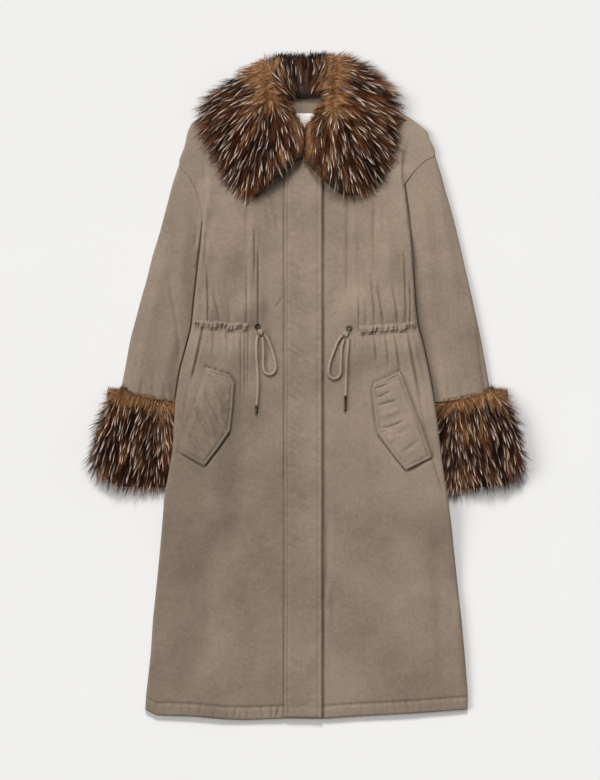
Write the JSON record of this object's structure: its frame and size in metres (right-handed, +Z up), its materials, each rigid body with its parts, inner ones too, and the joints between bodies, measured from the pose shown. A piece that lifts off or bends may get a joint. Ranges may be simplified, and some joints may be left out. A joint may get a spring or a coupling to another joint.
{
  "type": "parka with fur collar and cuffs, laid flat",
  "caption": "Long padded parka laid out flat, front up, with a wide fur collar, fur cuffs, covered placket, gathered drawcord waist and slanted pocket flaps.",
  "frame": {"origin": "middle of the coat's box, on the surface that it lies on", "axes": "+Z up out of the front, +Y from hem to collar, +X towards the wearer's left side"},
  "size_m": [0.7956, 1.2044, 0.0579],
  "materials": {
    "shell": "taupe cotton twill, matt, lightly padded",
    "fur": "long brown fur with tan, ginger and pale tips",
    "cord": "braided taupe cord",
    "label": "plain white woven tape, no print",
    "metal": "dark bronze, polished"
  },
  "bodies": {
    "root": {"back_panel": "shell", "front_right": "shell", "front_left": "shell", "placket": "shell", "sleeve_right": "shell", "sleeve_left": "shell", "waist_casing_right": "shell", "waist_casing_left": "shell", "pocket_flap_right": "shell", "pocket_flap_left": "shell", "neck_facing": "shell", "neck_label": "label", "cuff_right": "fur", "cuff_left": "fur", "collar_right": "fur", "collar_left": "fur", "eyelet_right": "metal", "eyelet_left": "metal", "aglet_right": "metal", "aglet_left": "metal", "cord_knot_right": "cord", "cord_knot_left": "cord", "cord_loop_right": "cord", "cord_loop_left": "cord", "cord_end_right": "cord", "cord_end_left": "cord"}
  },
  "joints": []
}
